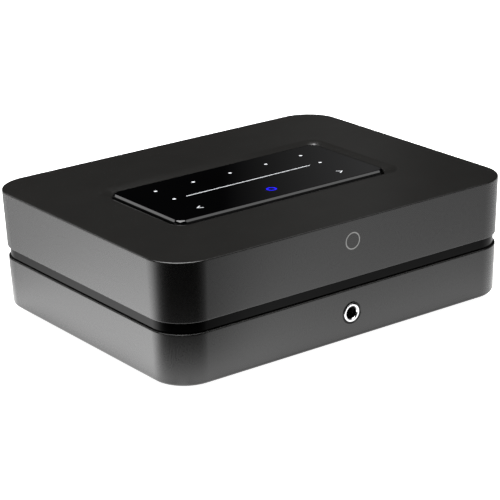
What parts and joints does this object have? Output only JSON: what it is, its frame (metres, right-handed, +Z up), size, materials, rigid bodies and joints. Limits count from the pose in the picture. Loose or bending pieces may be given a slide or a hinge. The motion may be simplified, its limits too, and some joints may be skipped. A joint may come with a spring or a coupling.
{
  "type": "bluetooth audio receiver",
  "caption": "Compact rounded-box streaming stereo receiver: two black shells split by a recessed waist band, glass touch panel on top, headphone socket in front, screw terminals behind.",
  "frame": {"origin": "under the middle of the overall box, on the surface that the feet stand on", "axes": "+X right seen from the front, +Y from the front to the terminals at the back, +Z up"},
  "size_m": [0.22, 0.19, 0.07],
  "materials": {
    "shell_satin": "fine satin texture on the sides, matte top",
    "band_black": "matte",
    "base_black": "matte, moulded",
    "foot_rubber": "matte",
    "panel_glass": "polished, black backed",
    "inner_plastic": "matte",
    "mark_print": "satin silver print",
    "socket_chrome": "polished",
    "socket_ring": "satin",
    "rear_plate": "fine powder coat",
    "screw_steel": "black zinc",
    "port_plastic": "matte",
    "port_nickel": "satin nickel",
    "terminal_gold": "gold plated",
    "cap_red": "satin gloss",
    "cap_black": "satin gloss",
    "circuit_board": "solder mask",
    "board_black": "solder mask",
    "heatsink_aluminium": "extruded",
    "transformer_tape": "wound tape and ferrite",
    "ferrite": "matte",
    "capacitor_sleeve": "heat-shrink sleeve",
    "ribbon_film": "polyimide film"
  },
  "bodies": {
    "casing": {"upper_shell": "shell_satin", "waist_band": "band_black", "lower_shell": "shell_satin", "base_plate": "base_black", "touch_glass": "panel_glass", "touch_tray": "inner_plastic", "touch_board": "board_black", "touch_ribbon": "ribbon_film", "front_mark": "mark_print", "headphone_jack": "port_plastic", "jack_ferrule": "socket_chrome", "jack_surround": "socket_ring", "rear_panel": "rear_plate", "mains_inlet": "port_plastic", "inlet_pin_1": "port_nickel", "inlet_pin_2": "port_nickel", "hdmi_port": "port_nickel", "usb_port": "port_nickel", "lan_port": "port_nickel", "sub_output": "port_plastic", "optical_analogue_jack": "port_plastic", "infrared_input_jack": "port_plastic", "main_board": "circuit_board", "power_board": "circuit_board", "amplifier_heatsink": "heatsink_aluminium", "processor_shield": "port_nickel", "wireless_module": "port_nickel", "power_transformer": "transformer_tape", "antenna_1": "board_black", "antenna_2": "board_black", "foot_1": "foot_rubber", "case_screw_1": "screw_steel", "post_collar_1": "port_plastic", "post_stud_1": "terminal_gold", "foot_2": "foot_rubber", "case_screw_2": "screw_steel", "post_collar_2": "port_plastic", "post_stud_2": "terminal_gold", "foot_3": "foot_rubber", "case_screw_3": "screw_steel", "post_collar_3": "port_plastic", "post_stud_3": "terminal_gold", "foot_4": "foot_rubber", "case_screw_4": "screw_steel", "post_collar_4": "port_plastic", "post_stud_4": "terminal_gold", "panel_screw_1": "screw_steel", "bulk_capacitor_1": "capacitor_sleeve", "output_choke_1": "ferrite", "panel_screw_2": "screw_steel", "bulk_capacitor_2": "capacitor_sleeve", "output_choke_2": "ferrite"},
    "clamp_washer_1": {"post_washer_1": "terminal_gold"},
    "screw_cap_1": {"post_cap_1": "cap_red"},
    "clamp_washer_2": {"post_washer_2": "terminal_gold"},
    "screw_cap_2": {"post_cap_2": "cap_black"},
    "clamp_washer_3": {"post_washer_3": "terminal_gold"},
    "screw_cap_3": {"post_cap_3": "cap_red"},
    "clamp_washer_4": {"post_washer_4": "terminal_gold"},
    "screw_cap_4": {"post_cap_4": "cap_black"}
  },
  "joints": [
    {"name": "post_1_travel", "type": "slide", "parent": "casing", "child": "clamp_washer_1", "axis": [0, 1, 0], "range_m": [0, 0.005]},
    {"name": "post_1_turn", "type": "hinge", "parent": "clamp_washer_1", "child": "screw_cap_1", "pos_m": [-0.053, 0.072, 0.021], "axis": [0, 1, 0], "range_deg": [0, 1801]},
    {"name": "post_2_travel", "type": "slide", "parent": "casing", "child": "clamp_washer_2", "axis": [0, 1, 0], "range_m": [0, 0.005]},
    {"name": "post_2_turn", "type": "hinge", "parent": "clamp_washer_2", "child": "screw_cap_2", "pos_m": [-0.037, 0.072, 0.021], "axis": [0, 1, 0], "range_deg": [0, 1801]},
    {"name": "post_3_travel", "type": "slide", "parent": "casing", "child": "clamp_washer_3", "axis": [0, 1, 0], "range_m": [0, 0.005]},
    {"name": "post_3_turn", "type": "hinge", "parent": "clamp_washer_3", "child": "screw_cap_3", "pos_m": [-0.02, 0.072, 0.021], "axis": [0, 1, 0], "range_deg": [0, 1801]},
    {"name": "post_4_travel", "type": "slide", "parent": "casing", "child": "clamp_washer_4", "axis": [0, 1, 0], "range_m": [0, 0.005]},
    {"name": "post_4_turn", "type": "hinge", "parent": "clamp_washer_4", "child": "screw_cap_4", "pos_m": [-0.004, 0.072, 0.021], "axis": [0, 1, 0], "range_deg": [0, 1801]}
  ],
  "couplings": [
    {"joint": "post_1_turn", "follows": "post_1_travel", "rad_per_m": 6283.2},
    {"joint": "post_2_turn", "follows": "post_2_travel", "rad_per_m": 6283.2},
    {"joint": "post_3_turn", "follows": "post_3_travel", "rad_per_m": 6283.2},
    {"joint": "post_4_turn", "follows": "post_4_travel", "rad_per_m": 6283.2}
  ]
}
